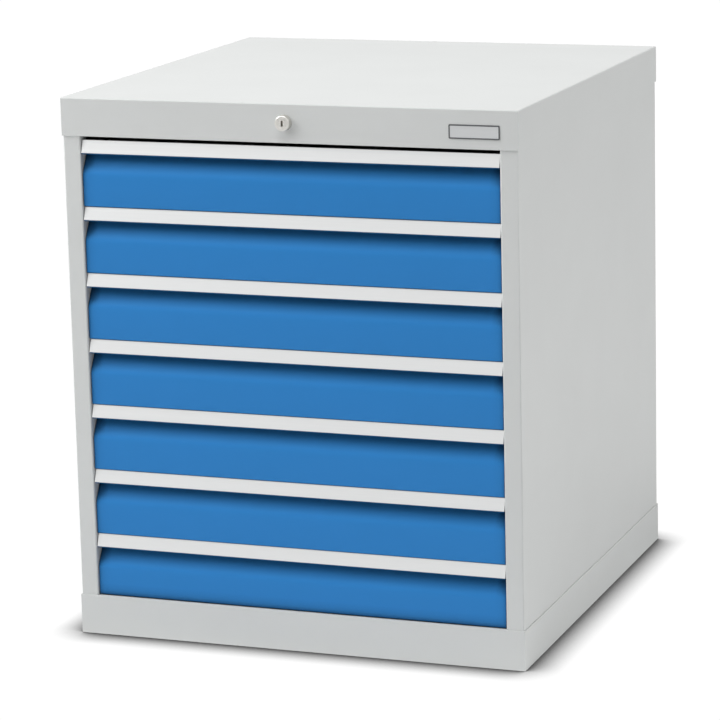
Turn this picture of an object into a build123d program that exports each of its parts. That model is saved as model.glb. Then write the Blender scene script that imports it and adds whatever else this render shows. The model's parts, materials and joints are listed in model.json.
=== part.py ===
from build123d import *
from math import cos, hypot, radians, sin
import os

# Steel drawer cabinet with seven full-extension drawers and a central lock.
# Millimetres. X runs to the viewer's right, Y to the back, Z up.
# Every piece is built with Y = 0 on the front face of the top cover, then moved to the
# part's origin, which is the middle of the footprint on the floor.

# Drawers and the spaces that they divide
drawers = 7
drawer_pitch = 100.0
tray_inside_width = 600.0
tray_inside_depth = 600.0
tray_height = 87.5
tray_lift = 0.5
tray_sheet = 1.0
tray_rim = 5.0
tray_slot_width = 3.0
tray_slot_height = 16.0
tray_slot_pitch = 120.0
tray_slot_below_rim = 8.0

# Cabinet body
cover_height = 57.0
cover_sheet = 1.5
cover_edge_radius = 2.0
cover_return = 15.0
plinth_height = 60.0
base_gap = 2.0
sill_depth = 27.0
floor_flange = 50.0
body_sheet = 1.2
jamb_width = 27.0
jamb_return = 22.5
rear_flange = 25.0
fit_gap = 0.3
bend_radius = 0.8
floor_height = 50.0
floor_side_flange = 20.0
anchor_hole_radius = 5.5
anchor_inset = 27.0

# Uprights that carry the slides
upright_sheet = 1.5
upright_depth = 14.3
upright_face = 30.0
upright_foot = 15.0
upright_front = 60.0
upright_rear_inset = 73.0
hook_slot_width = 4.0
hook_slot_height = 16.0
hook_width = 3.0
hook_height = 12.0
hook_drop = 5.0

# Three-member roller slides
slide_depth = 15.0
slide_sheet = 1.5
slide_gap = 1.0
slide_plate = 2.5
slide_plate_height = 22.0
slide_setback = 28.0
slide_shorter = 10.0
slide_height = 44.0
roller_radius = 12.0
roller_gap = 0.3
roller_end_gap = 0.8
roller_front_inset = 17.0
roller_rear_inset = 23.0
glide_length = 30.0
stop_thickness = 3.0
stop_height = 12.0
stop_reach = 6.0

# Drawer fronts and their aluminium grip strips
front_side_gap = 1.0
front_running_gap = 0.7
front_sheet = 1.0
face_setback = 5.0
recess_depth = 21.5
slope_start = 44.5
slope_end = 73.0
strip_gap = 6.2
strip_height = 19.0
strip_setback = 8.0
strip_lean = 6.0
strip_thickness = 1.6
strip_return = 4.0
lip_below_strip = 1.2

# Lock, drive shaft and locking bar
lock_height = 29.4
lock_proud = 8.5
rosette_radius = 12.0
rosette_taper = 0.8
barrel_radius = 9.5
barrel_length = 26.0
plug_radius = 6.5
plug_gap = 0.1
plug_set_in = 0.1
key_slot_width = 3.2
key_slot_height = 8.4
key_slot_depth = 10.0
nut_across_flats = 24.0
nut_thickness = 5.0
shaft_width = 8.0
shaft_gap = 0.2
crank_radius = 8.5
crank_thickness = 4.0
crank_gap = 0.5
crank_half_width = 5.0
crank_rest_angle = 45.0
crank_pin_radius = 2.5
pin_slot_gap = 0.6
catch_sheet = 2.0
catch_half_width = 10.0
catch_reach = 14.0
catch_flange = 14.0
catch_gap = 2.0
catch_bottom = 46.0
bar_thickness = 3.0
bar_width = 16.0
bar_gap = 1.5
bar_tail = 6.0
head_thickness = 2.5
head_margin = 6.0
finger_gap = 3.0
finger_tip_width = 4.0
finger_clearance = 3.0
finger_root = 6.0
guide_height = 24.0
guide_wall = 2.0
guide_web = 71.8
guide_overlap = 12.0
guide_position = 63.0
guide_foot_half_width = 14.0
bracket_sheet = 2.0
bracket_half_width = 15.0
bracket_flange = 15.0

# Plain name plate on the cover's front
plate_width = 75.8
plate_height = 20.5
plate_thickness = 0.8
plate_rim = 1.0
plate_rim_height = 0.2
plate_inset = 27.3
plate_middle = 24.8

# Across the width, counted from the middle
tray_half = tray_inside_width / 2 + tray_sheet
channel_edge = tray_half + slide_depth
plate_inner = channel_edge + slide_gap
plate_outer = plate_inner + slide_plate
rail_edge = plate_outer + slide_gap
rail_back = rail_edge + slide_depth
wall_inner = rail_back + upright_depth
body_half = wall_inner + body_sheet
half_width = body_half + cover_sheet
opening_half = body_half - jamb_width
front_half = opening_half - front_side_gap

# Up the height
height = plinth_height + base_gap + drawers * drawer_pitch + cover_height
cover_bottom = height - cover_height
cover_inside = height - cover_sheet
lock_z = cover_bottom + lock_height
floor_top = floor_height + body_sheet

# Back from the cover's front face
tray_front = recess_depth + front_sheet
tray_back = tray_front + tray_inside_depth + 2 * tray_sheet
catch_back = tray_back + catch_reach
lip_front = catch_back - catch_sheet
finger_front = tray_back + finger_gap
finger_tip_back = finger_front + finger_tip_width
travel = tray_inside_depth
slide_end = slide_setback + tray_inside_depth - slide_shorter
upright_rear = slide_end - upright_rear_inset
bar_front = catch_back + bar_gap
bar_back = bar_front + bar_width
guide_stop = bar_back + fit_gap
fork_back = guide_stop + guide_wall
foot_front = fork_back + guide_web
rear_panel_front = foot_front + guide_wall
rear_panel_back = rear_panel_front + body_sheet
body_back = rear_panel_back + body_sheet
depth = body_back + cover_sheet
crank_back = bar_front - crank_gap
crank_front = crank_back - crank_thickness
front_y = -(depth + lock_proud) / 2 + lock_proud


def drawer_base(number):
    """Height of the lower end of a drawer's own space; number 1 is the top drawer."""
    return cover_bottom - number * drawer_pitch


def block(x0, x1, y0, y1, z0, z1):
    """Rectangular piece between two corners."""
    middle = Pos((x0 + x1) / 2, (y0 + y1) / 2, (z0 + z1) / 2)
    return middle * Box(x1 - x0, y1 - y0, z1 - z0)


def folded(points, sheet, bend=0.0):
    """Section of one sheet, folded along its middle line, with round bends if an inside radius is given."""
    if bend:
        middle_line = FilletPolyline(*points, radius=bend + sheet / 2)
    else:
        middle_line = Polyline(*points)
    return trace(middle_line, line_width=sheet)


def across(section, half):
    """A section drawn in Y and Z, extruded to both sides of the middle."""
    return extrude(Plane.YZ * section, amount=half, both=True)


def pillar(section, bottom, top):
    """A section drawn in X and Y, extruded up between two heights."""
    return extrude(Pos(0, 0, bottom) * section, amount=top - bottom)


def disc(x0, x1, y, z, radius):
    """Round piece whose axis runs across the cabinet."""
    return Pos((x0 + x1) / 2, y, z) * Rot(0, 90, 0) * Cylinder(radius, x1 - x0)


def turned(points):
    """Piece of revolution about the lock's axis, from its outline in radius and depth."""
    outline = Plane.XY * make_face(Polyline(*points, close=True))
    return Pos(0, 0, lock_z) * revolve(outline, Axis.Y)


def mirrored(shape):
    """A piece on the right and its mirror image on the left."""
    return [shape, mirror(shape, about=Plane.YZ)]


def write(name, pieces):
    """Write one sub-part, moved from the cover's front face to the part's origin."""
    solids = [solid for piece in pieces for solid in piece.solids()]
    placed = [Pos(0, front_y, 0) * solid for solid in solids]
    export_step(Compound(children=placed), os.path.join("parts", name + ".step"))


# Cabinet body

def cover():
    """Folded tray that closes the cabinet, with the lock fascia as its front side."""
    shell = block(-half_width, half_width, 0, depth, cover_bottom, height)
    shell = fillet(shell.faces().sort_by(Axis.Z)[-1].edges(), cover_edge_radius)
    inside = block(-body_half, body_half, cover_sheet, body_back, cover_bottom, cover_inside)
    lower_return = block(
        -opening_half + fit_gap, opening_half - fit_gap,
        cover_sheet, cover_sheet + cover_return,
        cover_bottom, cover_bottom + cover_sheet)
    lock_hole = Pos(0, 0, lock_z) * Rot(90, 0, 0) * Cylinder(barrel_radius + fit_gap, 4 * cover_sheet)
    return shell - inside + lower_return - lock_hole


def plinth():
    """Welded base frame: four sides, an inward floor flange with anchor holes, and the front sill."""
    frame = block(-half_width, half_width, 0, depth, 0, plinth_height)
    inside = block(-body_half, body_half, cover_sheet, body_back, cover_sheet, plinth_height)
    middle = block(
        floor_flange - half_width, half_width - floor_flange,
        floor_flange, depth - floor_flange, 0, cover_sheet)
    sill = block(
        -opening_half + fit_gap, opening_half - fit_gap,
        cover_sheet, sill_depth, plinth_height - cover_sheet, plinth_height)
    frame = frame - inside - middle + sill
    for x in (anchor_inset - half_width, half_width - anchor_inset):
        for y in (anchor_inset, depth - anchor_inset):
            frame -= Pos(x, y, cover_sheet / 2) * Cylinder(anchor_hole_radius, 2 * cover_sheet)
    return frame


def side_panel():
    """Side wall on the right, folded to a jamb with a return in front and to a flange at the back."""
    half = body_sheet / 2
    points = [
        (opening_half + half, cover_sheet + jamb_return),
        (opening_half + half, cover_sheet + half),
        (body_half - half, cover_sheet + half),
        (body_half - half, body_back - half),
        (body_half - rear_flange, body_back - half)]
    return pillar(folded(points, body_sheet, bend_radius), cover_sheet, cover_inside)


def rear_panel():
    """Flat back wall, welded inside the side panels' rear flanges."""
    edge = wall_inner - bend_radius
    return block(-edge, edge, rear_panel_front, rear_panel_back, cover_sheet, cover_inside)


def floor_plate():
    """Bottom sheet with flanges down the side walls and one up under the sill."""
    front = sill_depth - body_sheet - cover_sheet
    sheet = block(-wall_inner, wall_inner, front, rear_panel_front, floor_height, floor_top)
    for side in (-1, 1):
        x0, x1 = sorted((side * wall_inner, side * (wall_inner - body_sheet)))
        sheet += block(x0, x1, front, rear_panel_front, floor_height - floor_side_flange, floor_height)
    sill_flange_top = plinth_height - cover_sheet
    edge = opening_half - fit_gap
    return sheet + block(-edge, edge, front, front + body_sheet, floor_top, sill_flange_top)


def upright(front):
    """Hat-section upright on the right wall, slotted for one slide of each drawer."""
    half = upright_sheet / 2
    back = front + upright_face
    points = [
        (wall_inner - half, front - upright_foot),
        (wall_inner - half, front),
        (rail_back + half, front),
        (rail_back + half, back),
        (wall_inner - half, back),
        (wall_inner - half, back + upright_foot)]
    post = pillar(folded(points, upright_sheet), floor_top, cover_inside)
    middle = front + upright_face / 2
    for number in range(1, drawers + 1):
        low = drawer_base(number) + slide_height - hook_height / 2
        post -= block(
            rail_back - upright_sheet, rail_back + 2 * upright_sheet,
            middle - hook_slot_width / 2, middle + hook_slot_width / 2,
            low, low + hook_slot_height)
    return post


# Slides

def channel(web_x, edge_x, middle_z):
    """Slide channel from its web's outer face to the open edges of its two flanges."""
    inner = roller_radius + roller_gap
    outer = inner + slide_sheet
    inward = 1 if edge_x > web_x else -1
    low_x, high_x = sorted((web_x, edge_x))
    body = block(low_x, high_x, slide_setback, slide_end, middle_z - outer, middle_z + outer)
    low_x, high_x = sorted((web_x + inward * slide_sheet, edge_x))
    hollow = block(low_x, high_x, slide_setback, slide_end, middle_z - inner, middle_z + inner)
    return body - hollow


def stop_lug(web_x, inward, y0, middle_z):
    """Bent lug inside a channel that ends the rollers' run."""
    low_x, high_x = sorted((web_x + inward * slide_sheet, web_x + inward * (slide_sheet + stop_reach)))
    low_z = middle_z - stop_height / 2
    return block(low_x, high_x, y0, y0 + stop_thickness, low_z, low_z + stop_height)


def rail(number):
    """Fixed slide member on the right, and its two welded hooks in the slots of the uprights."""
    middle_z = drawer_base(number) + slide_height
    member = channel(rail_back, rail_edge, middle_z)
    pieces = [member + stop_lug(rail_back, -1, slide_setback, middle_z)]
    low = middle_z - hook_height / 2
    lug_x = rail_back + upright_sheet + fit_gap
    hook_end = lug_x + upright_sheet
    for front in (upright_front, upright_rear):
        y0 = front + (upright_face - hook_width) / 2
        y1 = y0 + hook_width
        hook = block(rail_back, hook_end, y0, y1, low, low + hook_height)
        pieces.append(hook + block(lug_x, hook_end, y0, y1, low - hook_drop, low))
    return pieces


def drawer_channel(number):
    """Slide member that is fixed to the right wall of a drawer's tray."""
    middle_z = drawer_base(number) + slide_height
    member = channel(tray_half, channel_edge, middle_z)
    return member + stop_lug(tray_half, 1, slide_end - stop_thickness, middle_z)


def middle_plate(number):
    """Flat middle member of the right slide, which travels half as far as the drawer."""
    middle_z = drawer_base(number) + slide_height
    half = slide_plate_height / 2
    return block(plate_inner, plate_outer, slide_setback, slide_end, middle_z - half, middle_z + half)


def runners(number):
    """Nylon rollers and glide blocks on the right middle plate, which carry it in both channels.

    The front half runs in the drawer's channel and the rear half in the fixed rail. In each
    half the roller is in front, where the load bears down, and the glide block holds the rear.
    """
    middle_z = drawer_base(number) + slide_height
    front = slide_setback + roller_front_inset
    rear = slide_end - roller_rear_inset
    inner_x = tray_half + slide_sheet + roller_end_gap
    outer_x = rail_back - slide_sheet - roller_end_gap
    pieces = []
    for x0, x1, roller_y, glide_y in (
            (inner_x, plate_inner, front, rear - travel / 2),
            (plate_outer, outer_x, front + travel / 2, rear)):
        pieces.append(disc(x0, x1, roller_y, middle_z, roller_radius))
        half = glide_length / 2
        pieces.append(block(
            x0, x1, glide_y - half, glide_y + half,
            middle_z - roller_radius, middle_z + roller_radius))
    return pieces


# Drawers

def strip_top(number):
    """Height of the upper edge of a drawer's grip strip."""
    return drawer_base(number) + drawer_pitch - strip_gap


def behind_strip(number, z, distance):
    """Y at height z on the line that lies a distance behind the leaning face of the grip strip."""
    lean = strip_lean / strip_height
    return strip_setback + (z - strip_top(number)) * lean + distance * hypot(1, lean)


def below_strip(number, distance, overhang):
    """Height of the square-cut lower end of a sheet that lies behind the grip strip's face."""
    slant = hypot(strip_lean, strip_height)
    sine = strip_lean / slant
    cosine = strip_height / slant
    return strip_top(number) - strip_height - distance * sine - overhang * cosine


def grip_strip(number):
    """Leaning aluminium strip with a return over the top of the drawer front."""
    half = strip_thickness / 2
    top = strip_top(number) - half
    low = below_strip(number, half, 0)
    points = [
        (strip_setback + strip_return, top),
        (behind_strip(number, top, half), top),
        (behind_strip(number, low, half), low)]
    return across(folded(points, strip_thickness), front_half)


def drawer_front(number):
    """Folded front: flat face, inward slope, finger recess, and the lip that carries the grip strip."""
    half = front_sheet / 2
    lip = strip_thickness + half
    top = strip_top(number) - strip_thickness - half
    low = below_strip(number, lip, lip_below_strip)
    base = drawer_base(number)
    face = face_setback + half
    web = recess_depth + half
    bottom = max(base - strip_gap, plinth_height) + front_running_gap
    points = [
        (behind_strip(number, low, lip), low),
        (behind_strip(number, top, lip), top),
        (web, top),
        (web, base + slope_end),
        (face, base + slope_start),
        (face, bottom + half),
        (tray_front, bottom + half)]
    front = across(folded(points, front_sheet), front_half)
    end_outline = Polyline(
        (face_setback + front_sheet, bottom + half),
        (face, base + slope_start),
        (web, base + slope_end),
        (tray_front, base + slope_end),
        (tray_front, bottom + half),
        close=True)
    end_plate = extrude(Plane.YZ * make_face(end_outline), amount=front_sheet)
    for x in (-front_half, front_half - front_sheet):
        front += Pos(x, 0, 0) * end_plate
    return front


def tray(number):
    """Open drawer tray with an inward rim and divider slots."""
    base = drawer_base(number)
    bottom = base + tray_lift
    top = bottom + tray_height
    inside = tray_half - tray_sheet
    y0 = tray_front + tray_sheet
    y1 = tray_back - tray_sheet
    body = block(-tray_half, tray_half, tray_front, tray_back, bottom, top)
    body -= block(-inside, inside, y0, y1, bottom + tray_sheet, top - tray_sheet)
    rim = inside - tray_rim
    body -= block(-rim, rim, y0 + tray_rim, y1 - tray_rim, top - tray_sheet, top)
    slot_top = top - tray_slot_below_rim
    slot_count = int(tray_inside_depth / tray_slot_pitch - 0.01)
    first = (y0 + y1) / 2 - (slot_count - 1) * tray_slot_pitch / 2
    for index in range(slot_count):
        y = first + index * tray_slot_pitch
        for low_x, high_x in ((-tray_half, -inside), (inside, tray_half)):
            body -= block(
                low_x, high_x, y - tray_slot_width / 2, y + tray_slot_width / 2,
                slot_top - tray_slot_height, slot_top)
    return body


# Lock and locking bar

def crank_pin():
    """Distance of the crank pin from the shaft's axis, across and down, when unlocked."""
    angle = radians(crank_rest_angle)
    return crank_radius * cos(angle), crank_radius * sin(angle)


def bar_lift():
    """Rise of the locking bar when the key is turned: the pin goes from below the axis to above it."""
    return 2 * crank_pin()[1]


def finger_tip(number):
    """Height of a drawer's locking finger when unlocked, just under the lip of the drawer's catch."""
    return drawer_base(number) + catch_bottom - finger_clearance


def catch(number):
    """Folded bracket on a tray's back wall, whose lip the raised finger stands in front of."""
    half = catch_sheet / 2
    web = finger_tip(number) + bar_lift() + catch_gap + half
    points = [
        (tray_back + half, web + half + catch_flange),
        (tray_back + half, web),
        (catch_back - half, web),
        (catch_back - half, drawer_base(number) + catch_bottom)]
    return across(folded(points, catch_sheet), catch_half_width)


def lock_body():
    """Turned lock housing with the round rosette that shows on the fascia."""
    bore = plug_radius + plug_gap
    return turned([
        (bore, -lock_proud), (rosette_radius - rosette_taper, -lock_proud), (rosette_radius, 0),
        (barrel_radius, 0), (barrel_radius, barrel_length), (bore, barrel_length)])


def lock_nut():
    """Hexagon nut that clamps the housing from behind the fascia."""
    hexagon = RegularPolygon(nut_across_flats / 2, 6, major_radius=False)
    section = hexagon - Circle(barrel_radius + plug_gap)
    at_fascia = Plane((0, cover_sheet, lock_z), x_dir=(1, 0, 0), z_dir=(0, 1, 0))
    return extrude(at_fascia * section, amount=nut_thickness)


def lock_plug():
    """Plug that the key turns, with its key slot."""
    front = plug_set_in - lock_proud
    plug = turned([(0, front), (plug_radius, front), (plug_radius, barrel_length), (0, barrel_length)])
    return plug - block(
        -key_slot_width / 2, key_slot_width / 2, front, front + key_slot_depth,
        lock_z - key_slot_height / 2, lock_z + key_slot_height / 2)


def lock_shaft():
    """Square drive shaft from the plug to the back, with the crank that lifts the locking bar."""
    half = shaft_width / 2
    shaft = block(-half, half, barrel_length, crank_back, lock_z - half, lock_z + half)
    across_pin, down_pin = crank_pin()
    ends = [(0, lock_z), (-across_pin, lock_z - down_pin)]
    at_crank = Plane((0, crank_front, 0), x_dir=(1, 0, 0), z_dir=(0, -1, 0))
    arm_section = SlotOverall(crank_radius + 2 * crank_half_width, 2 * crank_half_width)
    middle = Pos(-across_pin / 2, lock_z - down_pin / 2, 0)
    section = at_crank * middle * Rot(0, 0, crank_rest_angle) * arm_section
    arm = extrude(section, amount=-crank_thickness)
    pin_end = bar_front + head_thickness + crank_thickness / 2
    pin_middle = (crank_back + pin_end) / 2
    pin = Cylinder(crank_pin_radius, pin_end - crank_back)
    pin = Pos(ends[1][0], pin_middle, ends[1][1]) * Rot(90, 0, 0) * pin
    return shaft + arm + pin


def shaft_bracket():
    """Hanger under the cover with a round bearing hole for the shaft."""
    back = crank_front - bracket_sheet
    front = back - bracket_sheet
    x = bracket_half_width
    plate = block(-x, x, front, back, lock_z - x, cover_inside)
    plate += block(-x, x, back - bracket_flange, back, cover_inside - bracket_sheet, cover_inside)
    bearing = Cylinder(shaft_width * hypot(1, 1) / 2 + shaft_gap, 4 * bracket_sheet)
    return plate - Pos(0, (front + back) / 2, lock_z) * Rot(90, 0, 0) * bearing


def finger_root_top(number):
    """Height where a finger's sloping back, which passes under the catch's lip, meets the unlocked bar."""
    slope = bar_lift() / (lip_front - finger_tip_back)
    return finger_tip(number) - slope * (bar_front - finger_tip_back)


def finger(number):
    """Wedge welded to the unlocked bar, one for each drawer."""
    tip = finger_tip(number)
    root_top = finger_root_top(number)
    root = root_top - finger_root
    outline = Polyline(
        (bar_front, root), (finger_front, root), (finger_front, tip),
        (finger_tip_back, tip), (bar_front, root_top), close=True)
    return across(make_face(outline), bar_thickness / 2)


def locking_bar():
    """Lifting bar for all the fingers, with a slotted head for the crank pin."""
    half = bar_thickness / 2
    across_pin, down_pin = crank_pin()
    head_z = lock_z - down_pin
    bottom = finger_root_top(drawers) - finger_root - bar_tail
    bar = block(-half, half, bar_front, bar_back, bottom, head_z)
    slot_half = crank_pin_radius + pin_slot_gap
    head_edge = -crank_radius - slot_half - head_margin
    head = block(
        head_edge, half, bar_front, bar_front + head_thickness,
        head_z - slot_half - head_margin, head_z + slot_half + head_margin)
    slot = block(
        -crank_radius - slot_half, -across_pin + slot_half, bar_front, bar_front + head_thickness,
        head_z - slot_half, head_z + slot_half)
    return bar + head - slot


def bar_guide(number):
    """Forked guide on the rear panel that the locking bar slides in, beside one drawer."""
    low = drawer_base(number) + guide_position
    high = low + guide_height
    inner = bar_thickness / 2 + fit_gap
    outer = inner + guide_wall
    guide = block(-outer, outer, bar_back - guide_overlap, fork_back, low, high)
    guide -= block(-inner, inner, bar_back - guide_overlap, guide_stop, low, high)
    guide += block(-guide_wall / 2, guide_wall / 2, fork_back, foot_front, low, high)
    x = guide_foot_half_width
    return guide + block(-x, x, foot_front, rear_panel_front, low, high)


def name_plate():
    """Plain plate with a raised rim, at the right end of the fascia."""
    right = half_width - plate_inset
    left = right - plate_width
    low = cover_bottom + plate_middle - plate_height / 2
    high = low + plate_height
    rim_front = -plate_thickness
    plate = block(left, right, rim_front, 0, low, high)
    return plate - block(
        left + plate_rim, right - plate_rim, rim_front, rim_front + plate_rim_height,
        low + plate_rim, high - plate_rim)


os.makedirs("parts", exist_ok=True)

write("top_cover", [cover()])
write("base_plinth", [plinth()])
right_side, left_side = mirrored(side_panel())
write("right_side_panel", [right_side])
write("left_side_panel", [left_side])
write("rear_panel", [rear_panel()])
write("floor_plate", [floor_plate()])

right_uprights = [upright(upright_front), upright(upright_rear)]
write("right_uprights", right_uprights)
write("left_uprights", [mirrored(post)[1] for post in right_uprights])

right_rails = [piece for number in range(1, drawers + 1) for piece in rail(number)]
write("right_slide_rails", right_rails)
write("left_slide_rails", [mirrored(piece)[1] for piece in right_rails])

for number in range(1, drawers + 1):
    name = "_" + str(number)
    write("drawer_tray" + name, [tray(number), catch(number)])
    write("drawer_front" + name, [drawer_front(number)])
    write("grip_strip" + name, [grip_strip(number)])
    write("drawer_channels" + name, mirrored(drawer_channel(number)))
    write("slide_plates" + name, mirrored(middle_plate(number)))
    write("slide_runners" + name, [side for piece in runners(number) for side in mirrored(piece)])

write("lock_body", [lock_body()])
write("lock_nut", [lock_nut()])
write("lock_plug", [lock_plug()])
write("lock_shaft", [lock_shaft()])
write("shaft_bracket", [shaft_bracket()])
write("locking_bar", [locking_bar()] + [finger(number) for number in range(1, drawers + 1)])
write("bar_guides", [bar_guide(number) for number in (1, (drawers + 1) // 2, drawers)])
write("name_plate", [name_plate()])

print("overall", 2 * half_width, depth, height, "travel", travel)
print("bar lift", bar_lift(), "cover front at y", front_y)
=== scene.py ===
import json
from math import cos, pi, radians, sin, tan

import bpy
from mathutils import Matrix, Vector


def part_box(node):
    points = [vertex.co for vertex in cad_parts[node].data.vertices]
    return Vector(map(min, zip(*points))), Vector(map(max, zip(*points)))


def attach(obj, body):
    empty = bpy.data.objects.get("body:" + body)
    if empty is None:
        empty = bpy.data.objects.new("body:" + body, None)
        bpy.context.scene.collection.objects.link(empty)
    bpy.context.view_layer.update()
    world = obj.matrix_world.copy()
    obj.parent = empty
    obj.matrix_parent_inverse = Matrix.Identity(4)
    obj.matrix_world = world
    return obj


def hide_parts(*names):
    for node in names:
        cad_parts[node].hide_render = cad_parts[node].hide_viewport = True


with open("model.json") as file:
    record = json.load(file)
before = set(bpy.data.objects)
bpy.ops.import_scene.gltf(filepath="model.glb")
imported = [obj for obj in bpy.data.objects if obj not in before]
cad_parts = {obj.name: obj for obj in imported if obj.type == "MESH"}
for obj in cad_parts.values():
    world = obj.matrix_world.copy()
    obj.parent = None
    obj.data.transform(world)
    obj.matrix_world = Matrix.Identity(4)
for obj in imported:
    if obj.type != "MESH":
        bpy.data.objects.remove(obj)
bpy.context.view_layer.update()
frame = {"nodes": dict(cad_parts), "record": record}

# A steel drawer cabinet: powder-coated grey body, blue drawer fronts with aluminium grip strips,
# a round lock in the fascia and a bare name plate.
# Metres, X to the viewer's right, Y from the drawer fronts to the back, Z up.

MM = 0.001
DRAWERS = sum(name.startswith("drawer_front_") for name in frame["nodes"])
COVER_LOW, COVER_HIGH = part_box("top_cover")
LOCK_LOW, LOCK_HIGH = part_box("lock_body")
LOCK_Z = (LOCK_LOW.z + LOCK_HIGH.z) / 2

# Sheet work: steps of a fold's arc, and the angle up to which two faces shade as one
FOLD_STEPS = 6
LONGEST_MITRE = 5.0  # reach of a mitred fold, in half sheets
SMOOTH_UNDER = 30  # degrees

# Grip strips
DRAWER_PITCH = 100.0 * MM
STRIP_GAP = 6.2 * MM  # from a strip's upper edge to the pitch line above it
STRIP_SETBACK = 8.0 * MM  # upper edge, behind the cover's front face
STRIP_LEAN = 6.0 * MM
STRIP_HEIGHT = 19.0 * MM
STRIP_SHEET = 1.6 * MM

# Drawer fronts
FRONT_SHEET = 1.0 * MM
FACE_SETBACK = 5.0 * MM
RECESS_DEPTH = 21.5 * MM
TRAY_FRONT = RECESS_DEPTH + FRONT_SHEET
SLOPE_START = 44.5 * MM
SLOPE_END = 73.0 * MM
LIP_BELOW_STRIP = 1.2 * MM
SHARP_FOLD = 1.1 * MM
RECESS_FOLD = 7.0 * MM
SOFT_CREASE = 20.0 * MM  # between the face and the slope

# Slides
PLATE_X = 317.0 * MM  # inner face of a middle plate, from the cabinet's middle
PLATE_SHEET = 2.5 * MM
RUNNER_WIDTH = 13.7 * MM
INNER_ROLLER = 45.0 * MM  # axle, behind the cover's front face
OUTER_ROLLER = 345.0 * MM
GLIDE_BEHIND_ROLLER = 250.0 * MM
ROLLER_RADIUS = 12.0 * MM
GLIDE_LENGTH = 30.0 * MM
GLIDE_CORNER = 3.0 * MM


def behind(distance):
    """Y that lies so far behind the cover's front face."""
    return COVER_LOW.y + distance


def base_line(number):
    """Z of the pitch line under a drawer."""
    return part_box("grip_strip_%d" % number)[1].z + STRIP_GAP - DRAWER_PITCH


# Making meshes


def add_piece(name, solids, materials):
    """Makes one object from closed solids, each given as points, faces and a material number."""
    points, faces, numbers = [], [], []
    for solid_points, solid_faces, number in solids:
        start = len(points)
        points += solid_points
        faces += [[start + corner for corner in face] for face in solid_faces]
        numbers += [number] * len(solid_faces)
    mesh = bpy.data.meshes.new(name)
    mesh.from_pydata(points, [], faces)
    mesh.update()
    for material in materials:
        mesh.materials.append(material)
    for face, number in zip(mesh.polygons, numbers):
        face.material_index = number
        face.use_smooth = True
    mesh.set_sharp_from_angle(angle=radians(SMOOTH_UNDER))
    piece = bpy.data.objects.new(name, mesh)
    bpy.context.scene.collection.objects.link(piece)
    return piece


def soften(piece, width, steps=2, above=35):
    """Rounds edges as a press or a tumbler would, where two faces turn by more than above degrees."""
    bevel = piece.modifiers.new("broken edges", "BEVEL")
    bevel.width = width
    bevel.segments = steps
    bevel.limit_method = "ANGLE"
    bevel.angle_limit = radians(above)
    bevel.harden_normals = True


def arc(middle, radius, start, end, steps):
    """Points of an arc in a plane, angles in degrees."""
    turn = [radians(start + (end - start) * i / steps) for i in range(steps + 1)]
    return [(middle[0] + radius * cos(a), middle[1] + radius * sin(a)) for a in turn]


def rounded_box(half_u, half_v, radius, steps=5):
    """Outline of a box with round corners about its middle, anticlockwise."""
    outline = []
    for u, v, start in ((1, 1, 0), (-1, 1, 90), (-1, -1, 180), (1, -1, 270)):
        middle = (u * (half_u - radius), v * (half_v - radius))
        outline += arc(middle, radius, start, start + 90, steps)
    return outline


def bent_line(corners, radii):
    """Middle line of a folded sheet; each inner corner has its own radius, and is sharp at zero."""
    line = [Vector(corners[0])]
    for before, corner, after, radius in zip(corners, corners[1:], corners[2:], radii):
        corner = Vector(corner)
        if not radius:
            line.append(corner)
            continue
        come = (corner - Vector(before)).normalized()
        go = (Vector(after) - corner).normalized()
        turn = come.angle_signed(go)
        reach = radius * tan(abs(turn) / 2)
        side = 1 if turn < 0 else -1
        normal = Vector((-come.y, come.x)) * side
        start = corner - come * reach
        middle = start + normal * radius
        arm = start - middle
        for i in range(FOLD_STEPS + 1):
            line.append(middle + Matrix.Rotation(-turn * i / FOLD_STEPS, 2) @ arm)
    line.append(Vector(corners[-1]))
    return line


def sheet_sides(line, half):
    """The two sides of a sheet whose middle line is given, mitred where the line turns."""
    left, right = [], []
    for i, point in enumerate(line):
        come = (point - line[i - 1]).normalized() if i else None
        go = (line[i + 1] - point).normalized() if i + 1 < len(line) else None
        along = ((come or go) + (go or come)).normalized()
        across = Vector((-along.y, along.x))
        stretch = half / max(1 / LONGEST_MITRE, along.dot(go or come))
        left.append(point + across * stretch)
        right.append(point - across * stretch)
    return left, right


def folded_sheet(corners, sheet, radii, half_width):
    """A sheet folded along X from its section in Y and Z, with four-sided end caps."""
    left, right = sheet_sides(bent_line(corners, radii), sheet / 2)
    outline = left + right[::-1]
    points = [(x, p[0], p[1]) for x in (-half_width, half_width) for p in outline]
    loop = len(outline)
    faces = [[i, (i + 1) % loop, loop + (i + 1) % loop, loop + i] for i in range(loop)]
    for i in range(len(left) - 1):
        far = loop - 1 - i
        faces.append([far, far - 1, i + 1, i])
        faces.append([loop + i, loop + i + 1, loop + far - 1, loop + far])
    return points, faces


def cut_blank(outline, low, high, place):
    """A closed outline carried from one level to another; place turns (u, v, level) into a point."""
    count = len(outline)
    points = [place(u, v, level) for level in (low, high) for u, v in outline]
    faces = [[i, (i + 1) % count, count + (i + 1) % count, count + i] for i in range(count)]
    return points, faces + [list(range(count))[::-1], list(range(count, 2 * count))]


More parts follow.
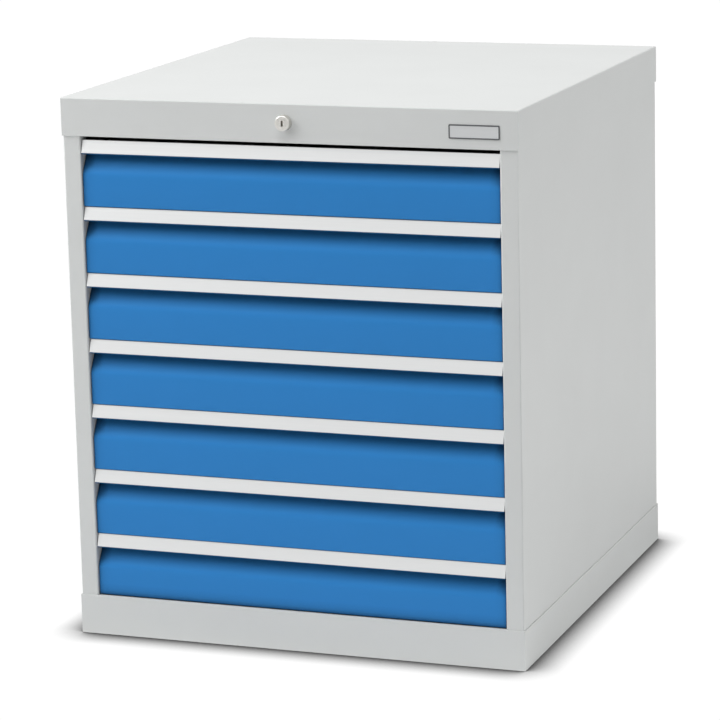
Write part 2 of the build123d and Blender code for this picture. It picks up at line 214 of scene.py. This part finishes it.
def turned_piece(profile, place, steps):
    """A lathe-turned piece from (radius, depth) points, closed on its axis at both ends."""
    points = [place(0, 0, profile[0][1])]
    for radius, depth in profile:
        points += [place(radius * cos(2 * pi * i / steps), radius * sin(2 * pi * i / steps), depth)
                   for i in range(steps)]
    points.append(place(0, 0, profile[-1][1]))
    faces = []
    for i in range(steps):
        after = (i + 1) % steps
        faces.append([0, 1 + after, 1 + i])
        for ring in range(len(profile) - 1):
            low, high = 1 + ring * steps, 1 + (ring + 1) * steps
            faces.append([low + i, low + after, high + after, high + i])
        last = 1 + (len(profile) - 1) * steps
        faces.append([len(points) - 1, last + i, last + after])
    return points, faces


def turned_ring(profile, place, steps):
    """A lathe-turned ring from a closed section of (radius, depth) points."""
    points = [place(r * cos(2 * pi * i / steps), r * sin(2 * pi * i / steps), depth)
              for i in range(steps) for r, depth in profile]
    count = len(profile)
    faces = []
    for i in range(steps):
        near, far = i * count, (i + 1) % steps * count
        faces += [[near + j, near + (j + 1) % count, far + (j + 1) % count, far + j]
                  for j in range(count)]
    return points, faces


# Materials


def linear(code):
    """Linear colour of an sRGB hex code."""
    parts = [int(code[i:i + 2], 16) / 255 for i in (1, 3, 5)]
    return [p / 12.92 if p <= 0.04045 else ((p + 0.055) / 1.055) ** 2.4 for p in parts] + [1.0]


def add(tree, kind, settings=None, links=None):
    """Adds a node with its settings, by property or input, and its links from other outputs."""
    node = tree.nodes.new(kind)
    for name, value in (settings or {}).items():
        if isinstance(name, str) and hasattr(node, name):
            setattr(node, name, value)
        else:
            node.inputs[name].default_value = value
    for name, output in (links or {}).items():
        tree.links.new(output, node.inputs[name])
    return node


def new_material(name):
    """An empty material and its tree."""
    material = bpy.data.materials.new(name)
    material.use_nodes = True
    material.node_tree.nodes.clear()
    return material, material.node_tree


def powder_coat(name, darker, lighter, sheen, corner_shade_colour=None):
    """Polyester powder baked onto steel sheet.

    The eye gets an even satin film with a faint orange peel, hardly any change of tone over
    a hand's width, and a soft sheen at grazing angles. A dark paint is given painted shade
    within a finger's width of folds, seams and recesses, as the photograph shows it: an
    occlusion mask blends its colour toward a dark shade colour there. Real peel is about 1 mm
    wide; it is drawn 3 mm wide, because anything finer is lost in the render.
    """
    peel_width = 3 * MM
    tone_width = 140 * MM
    shade_reach = 19 * MM
    shade_falloff = 3.0
    material, tree = new_material(name)
    place = add(tree, "ShaderNodeTexCoord").outputs["Object"]
    peel = add(tree, "ShaderNodeTexNoise", {"Scale": 1 / peel_width, "Detail": 2.0}, {"Vector": place})
    film = add(tree, "ShaderNodeTexNoise", {"Scale": 1 / tone_width, "Detail": 3.0}, {"Vector": place})
    tone = add(tree, "ShaderNodeMix", {"data_type": "RGBA", 6: linear(darker), 7: linear(lighter)},
               {0: film.outputs["Fac"]})
    # Painted shade: near folds, seams and recesses an occlusion mask blends the tone toward the shade colour.
    if corner_shade_colour:
        unshaded_share = add(tree, "ShaderNodeAmbientOcclusion", {"samples": 8, "Distance": shade_reach})
        unshaded_share = add(tree, "ShaderNodeMath", {"operation": "POWER", 1: shade_falloff},
                       {0: unshaded_share.outputs["AO"]})
        tone = add(tree, "ShaderNodeMix", {"data_type": "RGBA", 6: linear(corner_shade_colour)},
                   {0: unshaded_share.outputs[0], 7: tone.outputs[2]})
    gloss = add(tree, "ShaderNodeMapRange", {"To Min": 0.34, "To Max": 0.46},
                {"Value": peel.outputs["Fac"]})
    bump = add(tree, "ShaderNodeBump", {"Strength": 0.25, "Distance": 0.03 * MM},
               {"Height": peel.outputs["Fac"]})
    shader = add(tree, "ShaderNodeBsdfPrincipled", {"IOR": 1.5, "Specular IOR Level": sheen},
                 {"Base Color": tone.outputs[2], "Roughness": gloss.outputs["Result"],
                  "Normal": bump.outputs["Normal"]})
    add(tree, "ShaderNodeOutputMaterial", links={"Surface": shader.outputs[0]})
    return material


def anodised_aluminium():
    """Extruded aluminium, matt anodised.

    The eye gets a pale, silky metal with die lines that run the length of the strip. Real lines
    are about 0.1 mm apart; they are drawn 1.5 mm apart so that they show.
    """
    line_gap = 1.5 * MM
    line_length = 500 * MM
    material, tree = new_material("anodised extruded aluminium")
    place = add(tree, "ShaderNodeTexCoord").outputs["Object"]
    along = add(tree, "ShaderNodeMapping", {"Scale": (1 / line_length, 1 / line_gap, 1 / line_gap)},
                {"Vector": place})
    lines = add(tree, "ShaderNodeTexNoise", {"Scale": 1.0, "Detail": 3.0}, {"Vector": along.outputs[0]})
    tone = add(tree, "ShaderNodeMix",
               {"data_type": "RGBA", 6: linear("#D4D5D5"), 7: linear("#D9DADA")},
               {0: lines.outputs["Fac"]})
    gloss = add(tree, "ShaderNodeMapRange", {"To Min": 0.26, "To Max": 0.34},
                {"Value": lines.outputs["Fac"]})
    bump = add(tree, "ShaderNodeBump", {"Strength": 0.2, "Distance": 0.03 * MM},
               {"Height": lines.outputs["Fac"]})
    shader = add(tree, "ShaderNodeBsdfPrincipled", {"Metallic": 1.0},
                 {"Base Color": tone.outputs[2], "Roughness": gloss.outputs["Result"],
                  "Normal": bump.outputs["Normal"]})
    add(tree, "ShaderNodeOutputMaterial", links={"Surface": shader.outputs[0]})
    return material


def zinc_plate():
    """Bright zinc plated on rolled steel.

    The eye gets a cool grey metal with cloudy patches a few centimetres wide, now a little blue
    and now a little yellow, and a grain that follows the rolling along the cabinet's depth.
    The grain is drawn 2 mm wide instead of 0.2 mm.
    """
    cloud_width = 30 * MM
    grain_width = 2 * MM
    grain_length = 125 * MM
    material, tree = new_material("zinc plated rolled steel")
    place = add(tree, "ShaderNodeTexCoord").outputs["Object"]
    clouds = add(tree, "ShaderNodeTexNoise", {"Scale": 1 / cloud_width, "Detail": 4.0}, {"Vector": place})
    rolled = add(tree, "ShaderNodeMapping",
                 {"Scale": (1 / grain_width, 1 / grain_length, 1 / grain_width)}, {"Vector": place})
    grain = add(tree, "ShaderNodeTexNoise", {"Scale": 1.0, "Detail": 2.0}, {"Vector": rolled.outputs[0]})
    tone = add(tree, "ShaderNodeMix",
               {"data_type": "RGBA", 6: linear("#B4BAC2"), 7: linear("#CBCBC4")},
               {0: clouds.outputs["Fac"]})
    gloss = add(tree, "ShaderNodeMapRange", {"To Min": 0.28, "To Max": 0.44},
                {"Value": grain.outputs["Fac"]})
    bump = add(tree, "ShaderNodeBump", {"Strength": 0.15, "Distance": 0.02 * MM},
               {"Height": grain.outputs["Fac"]})
    shader = add(tree, "ShaderNodeBsdfPrincipled", {"Metallic": 1.0},
                 {"Base Color": tone.outputs[2], "Roughness": gloss.outputs["Result"],
                  "Normal": bump.outputs["Normal"]})
    add(tree, "ShaderNodeOutputMaterial", links={"Surface": shader.outputs[0]})
    return material


def turned_nylon():
    """Natural nylon, turned from bar.

    The eye gets a milky cream plastic with a soft shine and fine tool marks. Real ones are
    finer; they are drawn 0.8 mm apart so that they show.
    """
    mark_gap = 0.8 * MM
    milk_width = 12 * MM
    material, tree = new_material("natural turned nylon")
    place = add(tree, "ShaderNodeTexCoord").outputs["Object"]
    marks = add(tree, "ShaderNodeTexNoise", {"Scale": 1 / mark_gap, "Detail": 2.0}, {"Vector": place})
    milk = add(tree, "ShaderNodeTexNoise", {"Scale": 1 / milk_width, "Detail": 2.0}, {"Vector": place})
    tone = add(tree, "ShaderNodeMix",
               {"data_type": "RGBA", 6: linear("#DDD9CB"), 7: linear("#EBE8DE")},
               {0: milk.outputs["Fac"]})
    bump = add(tree, "ShaderNodeBump", {"Strength": 0.2, "Distance": 0.02 * MM},
               {"Height": marks.outputs["Fac"]})
    shader = add(tree, "ShaderNodeBsdfPrincipled",
                 {"IOR": 1.53, "Roughness": 0.42, "Subsurface Weight": 0.15, "Subsurface Scale": 2 * MM},
                 {"Base Color": tone.outputs[2], "Normal": bump.outputs["Normal"]})
    add(tree, "ShaderNodeOutputMaterial", links={"Surface": shader.outputs[0]})
    return material


def nickel_plate():
    """Brass turned on a lathe, then satin nickel plated.

    The eye gets a warm silver with rings about the lock's axis, drawn 0.7 mm apart, which pull
    the highlight into a soft fan.
    """
    ring_gap = 0.7 * MM
    wave_length = 0.314  # of a wave texture whose scale is 1
    material, tree = new_material("satin nickel on turned brass")
    place = add(tree, "ShaderNodeTexCoord").outputs["Object"]
    centred = add(tree, "ShaderNodeMapping", {"Location": (0.0, -COVER_LOW.y, -LOCK_Z)},
                  {"Vector": place})
    rings = add(tree, "ShaderNodeTexWave",
                {"wave_type": "RINGS", "rings_direction": "Y", "Scale": wave_length / ring_gap,
                 "Distortion": 0.4},
                {"Vector": centred.outputs[0]})
    tone = add(tree, "ShaderNodeMix",
               {"data_type": "RGBA", 6: linear("#D3D1CC"), 7: linear("#E2E0DB")},
               {0: rings.outputs["Fac"]})
    gloss = add(tree, "ShaderNodeMapRange", {"To Min": 0.30, "To Max": 0.40},
                {"Value": rings.outputs["Fac"]})
    bump = add(tree, "ShaderNodeBump", {"Strength": 0.15, "Distance": 0.02 * MM},
               {"Height": rings.outputs["Fac"]})
    shader = add(tree, "ShaderNodeBsdfPrincipled", {"Metallic": 1.0},
                 {"Base Color": tone.outputs[2], "Roughness": gloss.outputs["Result"],
                  "Normal": bump.outputs["Normal"]})
    add(tree, "ShaderNodeOutputMaterial", links={"Surface": shader.outputs[0]})
    return material


def brushed_plate():
    """Aluminium sheet, brushed along its length and lacquered, for the name plate's field.

    The eye gets a soft grey with short level scratches. Real ones are finer; they are drawn
    0.8 mm apart so that they show.
    """
    scratch_gap = 0.8 * MM
    scratch_length = 25 * MM
    material, tree = new_material("brushed lacquered aluminium")
    place = add(tree, "ShaderNodeTexCoord").outputs["Object"]
    along = add(tree, "ShaderNodeMapping",
                {"Scale": (1 / scratch_length, 1 / scratch_gap, 1 / scratch_gap)}, {"Vector": place})
    brush = add(tree, "ShaderNodeTexNoise", {"Scale": 1.0, "Detail": 3.0}, {"Vector": along.outputs[0]})
    tone = add(tree, "ShaderNodeMix",
               {"data_type": "RGBA", 6: linear("#C2C4C5"), 7: linear("#CDCECF")},
               {0: brush.outputs["Fac"]})
    gloss = add(tree, "ShaderNodeMapRange", {"To Min": 0.42, "To Max": 0.56},
                {"Value": brush.outputs["Fac"]})
    shader = add(tree, "ShaderNodeBsdfPrincipled", {"Metallic": 0.6},
                 {"Base Color": tone.outputs[2], "Roughness": gloss.outputs["Result"]})
    add(tree, "ShaderNodeOutputMaterial", links={"Surface": shader.outputs[0]})
    return material


def rim_enamel():
    """Stoving enamel on the name plate's rim.

    The eye gets a thin dark grey line with a slight gloss and a dusting of lighter specks.
    """
    speck_width = 1.5 * MM
    material, tree = new_material("dark stoving enamel")
    place = add(tree, "ShaderNodeTexCoord").outputs["Object"]
    dust = add(tree, "ShaderNodeTexNoise", {"Scale": 1 / speck_width, "Detail": 2.0}, {"Vector": place})
    tone = add(tree, "ShaderNodeMix",
               {"data_type": "RGBA", 6: linear("#4C4E50"), 7: linear("#5C5E60")},
               {0: dust.outputs["Fac"]})
    shader = add(tree, "ShaderNodeBsdfPrincipled", {"IOR": 1.5, "Roughness": 0.4},
                 {"Base Color": tone.outputs[2]})
    add(tree, "ShaderNodeOutputMaterial", links={"Surface": shader.outputs[0]})
    return material


def make_materials():
    """One finish for each material slot of the record, and the name plate's rim."""
    grey = powder_coat("light grey powder coat", "#CDCFCE", "#D3D5D4", sheen=0.3)
    # The blue's dark colour is painted shade for its folds and finger recesses.
    blue = powder_coat("light blue powder coat", "#307FC2", "#3281C6", sheen=0.1, corner_shade_colour="#03182B")
    return {
        "grey_paint": grey,
        "tray_paint": grey,
        "blue_paint": blue,
        "strip_aluminium": anodised_aluminium(),
        "zinc_steel": zinc_plate(),
        "nylon": turned_nylon(),
        "lock_metal": nickel_plate(),
        "plate_metal": brushed_plate(),
        "rim": rim_enamel(),
    }


def finish_cad_nodes(finishes):
    """Gives every carried-over node the finish of its slot, and breaks the outer sheets' edges."""
    for part in frame["record"]["subparts"]:
        node = frame["nodes"][part["node"]]
        node.data.materials.clear()
        node.data.materials.append(finishes[part["material_slot"]])
    for name in ("top_cover", "base_plinth", "right_side_panel", "left_side_panel"):
        node = frame["nodes"][name]
        weld = node.modifiers.new("joined corners", "WELD")
        weld.merge_threshold = 0.001 * MM
        soften(node, 0.3 * MM, above=50)


# Drawer fronts and grip strips


def strip_face(top_z):
    """Upper and lower end of a grip strip's outer face, as Y and Z, and the way down and inward."""
    upper = Vector((behind(STRIP_SETBACK), top_z))
    lower = Vector((behind(STRIP_SETBACK - STRIP_LEAN), top_z - STRIP_HEIGHT))
    down = (lower - upper).normalized()
    return upper, lower, down, Vector((-down.y, down.x))


def grip_strip(number, finishes):
    """Leaning extruded strip with a return over the top of the drawer's front."""
    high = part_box("grip_strip_%d" % number)[1]
    upper, lower, down, inward = strip_face(high.z)
    half = STRIP_SHEET / 2
    top = high.z - half
    bend = upper + down * ((upper.y - top) / -down.y) + inward * half
    bend.x += (top - bend.y) * down.x / down.y
    bend.y = top
    corners = [(high.y, top), bend, lower + inward * half]
    strip = folded_sheet(corners, STRIP_SHEET, [0], high.x) + (0,)
    piece = add_piece("strip_%d" % number, [strip], [finishes["strip_aluminium"]])
    soften(piece, 0.35 * MM, steps=3)
    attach(piece, "drawer_%d" % number)
    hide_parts("grip_strip_%d" % number)


def front_sheet(number):
    """The folded sheet of a front: lip behind the strip, recess, slope, face and bottom flange."""
    low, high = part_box("drawer_front_%d" % number)
    base = base_line(number)
    half = FRONT_SHEET / 2
    upper, lower, down, inward = strip_face(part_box("grip_strip_%d" % number)[1].z)
    behind_strip = inward * (STRIP_SHEET + half)
    top = high.z - half
    bottom = low.z + half
    lip_top = upper + behind_strip
    lip_top = lip_top + down * ((lip_top.y - top) / -down.y)
    lip_low = lower + behind_strip + down * LIP_BELOW_STRIP
    web = behind(RECESS_DEPTH) + half
    face = behind(FACE_SETBACK) + half
    corners = [lip_low, lip_top, (web, top), (web, base + SLOPE_END), (face, base + SLOPE_START),
               (face, bottom), (behind(TRAY_FRONT), bottom)]
    radii = [SHARP_FOLD, SHARP_FOLD, RECESS_FOLD, SOFT_CREASE, SHARP_FOLD]
    return folded_sheet(corners, FRONT_SHEET, radii, high.x)


def front_end(number, x):
    """The sheet that closes one end of a front below its recess, from x on."""
    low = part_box("drawer_front_%d" % number)[0]
    base = base_line(number)
    half = FRONT_SHEET / 2
    inset = 0.1 * MM
    web = behind(RECESS_DEPTH) + half
    face = behind(FACE_SETBACK) + half
    back = behind(TRAY_FRONT) - inset
    bottom = low.z + half + inset
    back_top = base + SLOPE_END - 1.0 * MM
    web_top = base + SLOPE_END - 2.0 * MM
    # The crease's arc leaves the sharp corner, so the outline cuts that corner off.
    crease_cut = 0.6 * MM
    crease_top = base + SLOPE_START - 0.5 * MM
    crease_low = base + SLOPE_START - 6.0 * MM
    outline = [(face, bottom), (back, bottom), (back, back_top), (web, web_top),
               (face + crease_cut, crease_top), (face, crease_low)]
    return cut_blank(outline, x, x + FRONT_SHEET, lambda y, z, across: (across, y, z))


def drawer_front(number, finishes):
    """Folded front: flat face, inward slope, finger recess and the lip behind the grip strip."""
    low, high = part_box("drawer_front_%d" % number)
    solids = [front_sheet(number) + (0,)]
    solids += [front_end(number, x) + (0,) for x in (low.x, high.x - FRONT_SHEET)]
    piece = add_piece("front_%d" % number, solids, [finishes["blue_paint"]])
    soften(piece, 0.3 * MM)
    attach(piece, "drawer_%d" % number)
    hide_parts("drawer_front_%d" % number)


# Slides


def on_axle(x0, x1, y, z):
    """Place of a point of a roller: u and v about the axle and depth from x0 towards x1, in mm."""
    inward = 1 if x1 > x0 else -1

    def place(u, v, depth):
        return x0 + inward * depth * MM, y + u * MM, z + v * MM * inward

    return place


def roller(x0, x1, y, z):
    """Nylon roller from its face on the plate, x0, to its free face, x1, with a recessed web."""
    wide = abs(x1 - x0) / MM
    tread = ROLLER_RADIUS / MM
    edge, rim, hub = 11.2, 8.2, 4.4  # radii in mm
    profile = [(tread - 0.6, 0.0), (tread, 0.6), (tread, wide - 0.8), (tread - 0.2, wide - 0.2),
               (edge, wide), (rim + 0.8, wide), (rim + 0.2, wide - 0.4), (rim, wide - 1.6),
               (hub + 0.2, wide - 1.6), (hub, wide - 1.0)]
    return turned_piece(profile, on_axle(x0, x1, y, z), steps=40)


def rivet(x0, x1, y, z):
    """Domed head of the rivet that a roller turns on."""
    wide = abs(x1 - x0) / MM
    dome = [(3.6, wide - 1.2), (3.6, wide - 0.7), (3.1, wide - 0.35), (2.2, wide - 0.15),
            (1.1, wide - 0.05)]
    return turned_piece(dome, on_axle(x0, x1, y, z), steps=24)


def glide_block(x0, x1, y, z):
    """Moulded glide block, as high as a roller, with rounded lead-in ends."""
    block = rounded_box(GLIDE_LENGTH / 2, ROLLER_RADIUS, GLIDE_CORNER)
    outline = [(y + u, z + v) for u, v in block]
    return cut_blank(outline, min(x0, x1), max(x0, x1), lambda v, w, across: (across, v, w))


def slide_runners(number, finishes):
    """Rollers, their rivets and the glide blocks of one drawer's two slides."""
    low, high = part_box("slide_runners_%d" % number)
    z = (low.z + high.z) / 2
    outside = PLATE_X + PLATE_SHEET
    solids = []
    for side in (1, -1):
        for on_plate, free, axle in ((PLATE_X, PLATE_X - RUNNER_WIDTH, INNER_ROLLER),
                                     (outside, outside + RUNNER_WIDTH, OUTER_ROLLER)):
            x0, x1 = side * on_plate, side * free
            solids.append(roller(x0, x1, behind(axle), z) + (0,))
            solids.append(rivet(x0, x1, behind(axle), z) + (1,))
            solids.append(glide_block(x0, x1, behind(axle + GLIDE_BEHIND_ROLLER), z) + (0,))
    piece = add_piece("rollers_%d" % number, solids, [finishes["nylon"], finishes["zinc_steel"]])
    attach(piece, "slide_%d" % number)
    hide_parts("slide_runners_%d" % number)


# Lock and name plate


def rosette(finishes):
    """Turned lock housing with a rounded rosette and a shallow chamfer round the plug."""
    bore, barrel, foot = 6.6, 9.5, 12.0  # radii in mm
    proud, length = 8.5, 26.0
    taper, rim, chamfer = 0.8, 1.3, 0.3
    flat = foot - taper - rim

    def at_lock(u, v, depth):
        return u * MM, behind(depth * MM), LOCK_Z + v * MM

    section = [(bore, length), (bore, chamfer - proud), (bore + chamfer, -proud), (flat, -proud)]
    section += arc((flat, rim - proud), rim, -90, -8, 5)
    section += [(foot, 0.0), (barrel, 0.0), (barrel, length)]
    solids = [turned_ring(section, at_lock, steps=64) + (0,)]
    piece = add_piece("lock_rosette", solids, [finishes["lock_metal"]])
    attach(piece, "cabinet")
    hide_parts("lock_body")


def name_plate(finishes):
    """Bare plate with rounded corners in a slightly raised dark rim."""
    low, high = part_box("name_plate")
    middle = (low + high) / 2
    half_u, half_v = (high.x - low.x) / 2, (high.z - low.z) / 2

    def place(u, v, depth):
        return middle.x + u, high.y + depth, middle.z + v

    rim = 1.9 * MM
    sunk = 0.25 * MM
    outer_corner, inner_corner = 1.8 * MM, 0.8 * MM
    outer = rounded_box(half_u, half_v, outer_corner)
    inner = rounded_box(half_u - rim, half_v - rim, inner_corner)
    count = len(outer)
    front = low.y - high.y
    rings = ((outer, 0.0), (outer, front), (inner, front), (inner, 0.0))
    points = [place(u, v, depth) for outline, depth in rings for u, v in outline]
    faces = []
    for ring in range(len(rings)):
        near, far = ring * count, (ring + 1) % len(rings) * count
        faces += [[near + i, far + i, far + (i + 1) % count, near + (i + 1) % count]
                  for i in range(count)]
    field = cut_blank(inner, 0.0, front + sunk, place)
    piece = add_piece("bare_plate", [(points, faces, 1), field + (0,)],
                      [finishes["plate_metal"], finishes["rim"]])
    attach(piece, "cabinet")
    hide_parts("name_plate")


# Studio


def set_camera():
    """Camera fitted to the photograph: a long lens from the right, a little above the middle."""
    azimuth = radians(19.8475)
    elevation = radians(11.9158)
    roll = radians(-1.2185)
    distance = 5068.959 * MM
    aside = 29.544 * MM
    above = 11.038 * MM
    body_middle = Vector((0.0, (COVER_LOW.y + COVER_HIGH.y) / 2, COVER_HIGH.z / 2))
    back = Vector((sin(azimuth) * cos(elevation), -cos(azimuth) * cos(elevation), sin(elevation)))
    right = Vector((0, 0, 1)).cross(back).normalized()
    up = back.cross(right)
    across = right * cos(roll) + up * sin(roll)
    upward = up * cos(roll) - right * sin(roll)
    place = body_middle + back * distance + across * aside + upward * above
    data = bpy.data.cameras.new("photograph")
    data.lens = 162.166
    data.sensor_width = 36.0
    data.shift_x = -0.05
    data.shift_y = -0.05
    data.clip_start = 0.1
    data.clip_end = 200.0
    camera = bpy.data.objects.new("photograph", data)
    camera.matrix_world = Matrix((
        (across.x, upward.x, back.x, place.x),
        (across.y, upward.y, back.y, place.y),
        (across.z, upward.z, back.z, place.z),
        (0, 0, 0, 1)))
    bpy.context.scene.collection.objects.link(camera)
    bpy.context.scene.camera = camera


def soft_lamp(name, towards, tall, level):
    """Soft box that stands in one direction from the cabinet; level is what it gives a facing sheet."""
    distance = 6.0
    wide = 3.0
    aim = Vector((0, 0, 0.45))
    towards = Vector(towards).normalized()
    data = bpy.data.lights.new(name, "AREA")
    data.shape = "RECTANGLE"
    data.size = wide
    data.size_y = tall
    data.energy = level * pi ** 2 * distance ** 2
    lamp = bpy.data.objects.new(name, data)
    lamp.location = aim + towards * distance
    lamp.rotation_euler = towards.to_track_quat("Z", "Y").to_euler()
    bpy.context.scene.collection.objects.link(lamp)


def set_lamps():
    """Soft boxes from the far left, from above the front, and from the right and a little behind."""
    soft_lamp("far left", (-0.70, -0.36, 0.48), tall=2.4, level=0.54)
    soft_lamp("above the front", (-0.10, -0.30, 1.0), tall=2.5, level=0.56)
    soft_lamp("right", (1.0, 0.22, 0.45), tall=2.5, level=0.37)


def set_world():
    """White for the camera and for reflections, a dimmer white for the light that it sheds."""
    world = bpy.data.worlds.new("studio")
    bpy.context.scene.world = world
    world.use_nodes = True
    tree = world.node_tree
    tree.nodes.clear()
    path = add(tree, "ShaderNodeLightPath")
    seen = add(tree, "ShaderNodeMath", {"operation": "MAXIMUM"},
               {0: path.outputs["Is Camera Ray"], 1: path.outputs["Is Glossy Ray"]})
    seen = add(tree, "ShaderNodeMath", {"operation": "MAXIMUM"},
               {0: seen.outputs[0], 1: path.outputs["Is Transmission Ray"]})
    dim = add(tree, "ShaderNodeBackground", {"Color": (1, 1, 1, 1), "Strength": 0.22})
    white = add(tree, "ShaderNodeBackground", {"Color": (1, 1, 1, 1), "Strength": 1.0})
    mix = add(tree, "ShaderNodeMixShader", links={0: seen.outputs[0], 1: dim.outputs[0], 2: white.outputs[0]})
    add(tree, "ShaderNodeOutputWorld", links={"Surface": mix.outputs[0]})


def floor_paint():
    """Matt white studio floor.

    The camera sees an emitted white with a painted contact shadow, darkened by an occlusion
    mask near the cabinet; other rays meet a pale matt floor.
    """
    shadow_reach = 55 * MM
    material, tree = new_material("matt white studio floor")
    path = add(tree, "ShaderNodeLightPath")
    # Painted shadow: the occlusion mask darkens the emitted white near the cabinet's foot.
    contact_mask = add(tree, "ShaderNodeAmbientOcclusion", {"samples": 16, "Distance": shadow_reach})
    white_with_painted_shadow = add(tree, "ShaderNodeMapRange",
                 {"From Min": 0.5, "From Max": 1.0, "To Min": 0.06, "To Max": 1.02},
                 {"Value": contact_mask.outputs["AO"]})
    seen = add(tree, "ShaderNodeEmission", links={"Color": white_with_painted_shadow.outputs[0]})
    other = add(tree, "ShaderNodeBsdfDiffuse", {"Color": (0.9, 0.9, 0.9, 1)})
    mix = add(tree, "ShaderNodeMixShader",
              links={0: path.outputs["Is Camera Ray"], 1: other.outputs[0], 2: seen.outputs[0]})
    add(tree, "ShaderNodeOutputMaterial", links={"Surface": mix.outputs[0]})
    return material


def set_floor():
    """A wide flat floor just under the cabinet's feet."""
    half = 60.0
    corners = [(-half, -half, 0), (half, -half, 0), (half, half, 0), (-half, half, 0)]
    mesh = bpy.data.meshes.new("studio_floor")
    mesh.from_pydata(corners, [], [[0, 1, 2, 3]])
    mesh.materials.append(floor_paint())
    floor = bpy.data.objects.new("studio_floor", mesh)
    floor.location.z = -0.2 * MM
    bpy.context.scene.collection.objects.link(floor)


# The whole scene

bpy.context.scene.view_settings.view_transform = "Standard"
set_camera()
set_lamps()
set_world()
set_floor()

finishes = make_materials()
finish_cad_nodes(finishes)
for number in range(1, DRAWERS + 1):
    drawer_front(number, finishes)
    grip_strip(number, finishes)
    slide_runners(number, finishes)
rosette(finishes)
name_plate(finishes)
